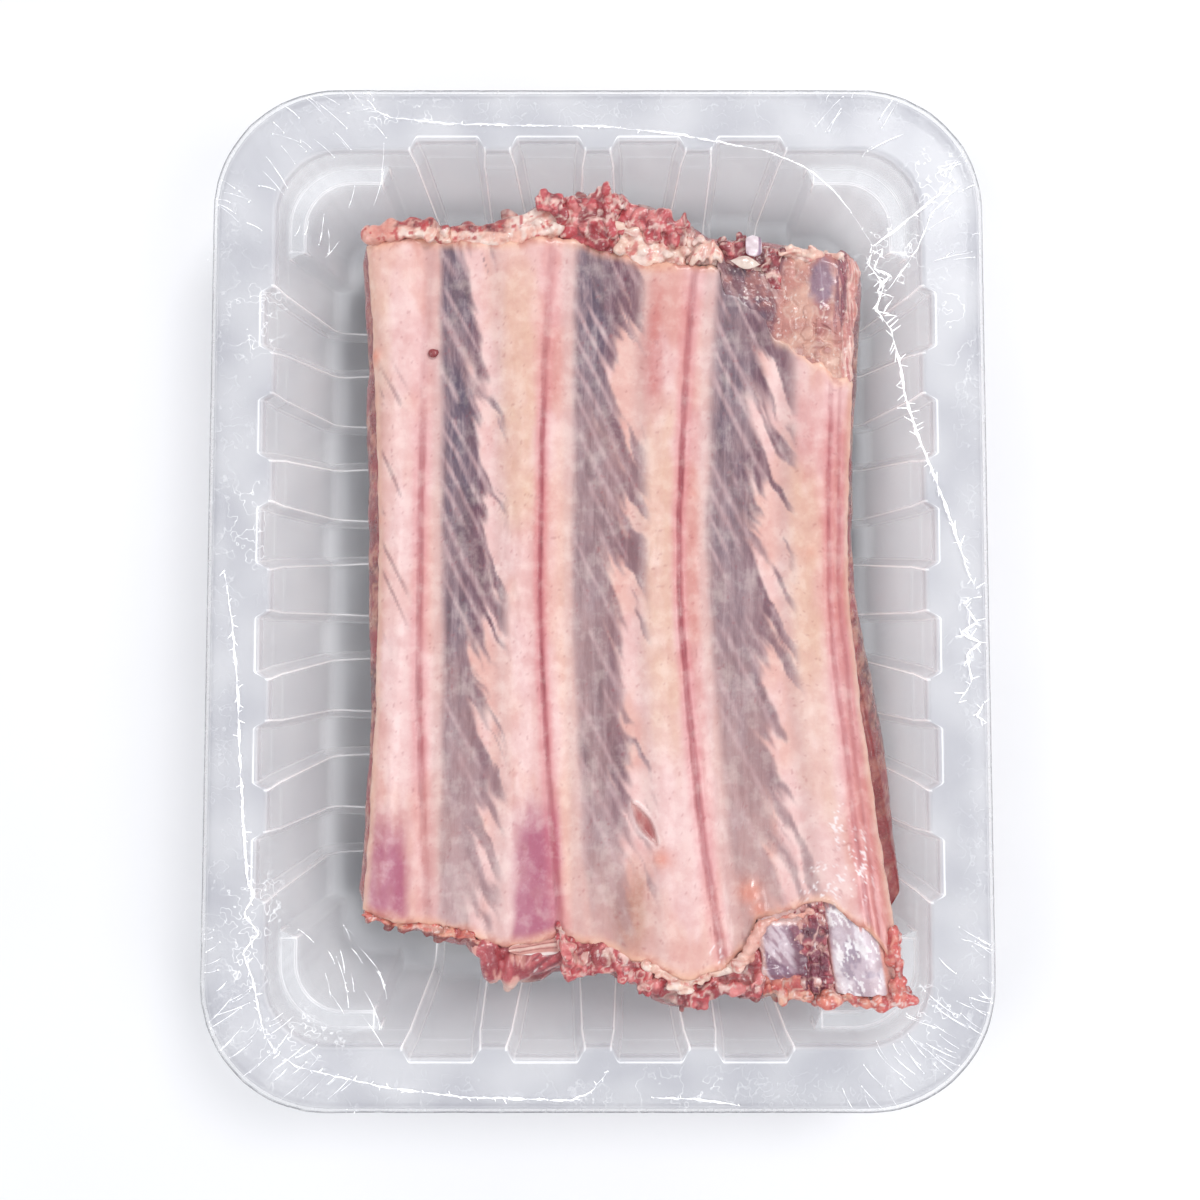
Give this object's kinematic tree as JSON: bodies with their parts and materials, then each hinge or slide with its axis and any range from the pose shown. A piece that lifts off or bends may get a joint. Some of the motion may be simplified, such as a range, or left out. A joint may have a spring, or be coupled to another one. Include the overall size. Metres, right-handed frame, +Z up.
{
  "type": "meat tray pack",
  "caption": "Rack of raw beef back ribs lying bone side up in a clear ribbed tray, under a clear film drawn over the mouth and in under the base.",
  "frame": {"origin": "middle of the pack's flat underside, on the surface that it rests on", "axes": "+X across the pack, to the picture's right; +Y along the pack, to the picture's top; +Z up, out of the tray's mouth"},
  "size_m": [0.2384, 0.3114, 0.0507],
  "materials": {
    "clear_plastic": "clear thermoformed sheet",
    "clear_film": "thin stretched clear film",
    "membrane": "moist membrane",
    "bone": "moist bone",
    "muscle": "moist dark muscle",
    "meat": "moist raw meat",
    "red_meat": "moist raw meat",
    "fat": "moist fat",
    "tan_fat": "moist fat and flesh",
    "grey_muscle": "moist muscle under its own skin"
  },
  "bodies": {
    "root": {"tray": "clear_plastic", "film": "clear_film", "membrane": "membrane", "rib_bone_1": "bone", "rib_bone_2": "bone", "rib_bone_3": "bone", "rib_bone_4": "bone", "rib_muscle_1": "muscle", "rib_muscle_2": "muscle", "rib_muscle_3": "muscle", "torn_muscle_top": "muscle", "meat_slab": "meat", "meat_scrap": "meat", "torn_meat_bottom": "meat", "trim_meat_top_left": "red_meat", "trim_meat_top_right": "red_meat", "trim_meat_corner": "red_meat", "meat_lobe": "red_meat", "trim_meat_bottom_left": "red_meat", "trim_meat_bottom_right": "red_meat", "trim_meat_lip": "red_meat", "cartilage_lump": "fat", "fat_lip_top": "fat", "fat_strip_top": "fat", "fat_curl": "fat", "fat_rim_top": "fat", "fat_edge_bottom": "fat", "torn_fat_top": "tan_fat", "torn_flap_top": "tan_fat", "meat_edge_top": "tan_fat", "fat_rim_bottom": "tan_fat", "grey_muscle_top": "grey_muscle", "grey_muscle_bottom": "grey_muscle"}
  },
  "joints": []
}
